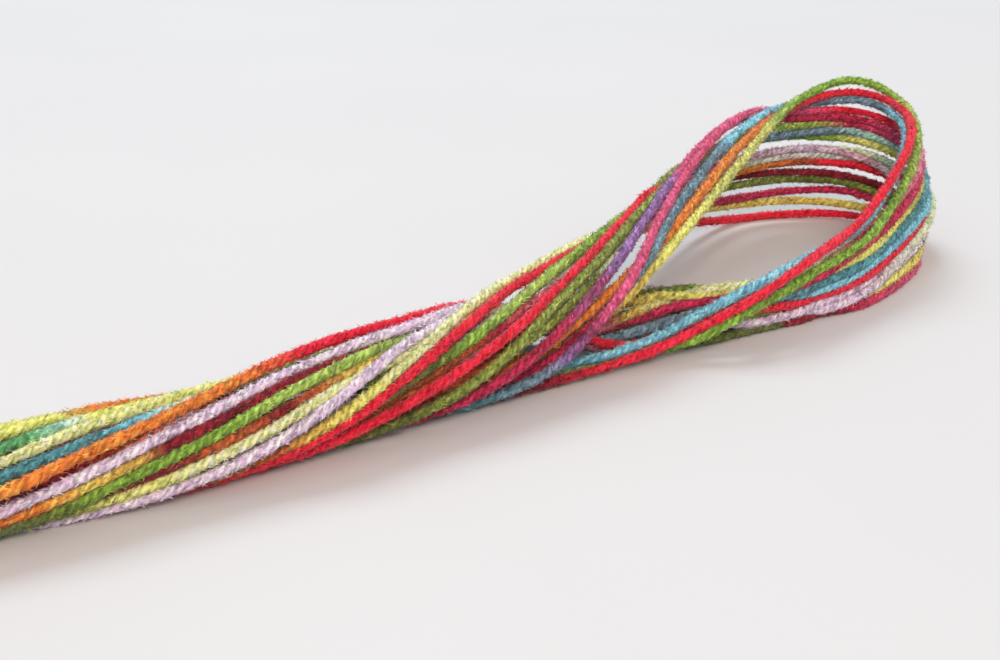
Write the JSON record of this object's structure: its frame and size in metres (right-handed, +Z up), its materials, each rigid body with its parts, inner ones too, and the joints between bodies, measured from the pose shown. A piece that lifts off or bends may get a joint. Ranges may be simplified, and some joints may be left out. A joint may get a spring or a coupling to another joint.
{
  "type": "skein of yarn",
  "caption": "Twisted skein of thin plied acrylic yarn in many colours, its turns opening into a standing loop at one end.",
  "frame": {"origin": "middle of the skein's bounding box in plan, on the surface it lies on", "axes": "+Z up from the surface, +X along the skein towards the large loop, +Y away from the viewer across the skein"},
  "size_m": [0.3401, 0.0611, 0.0369],
  "materials": {
    "yarn": "matte"
  },
  "bodies": {
    "root": {"skein": "yarn"}
  },
  "joints": []
}
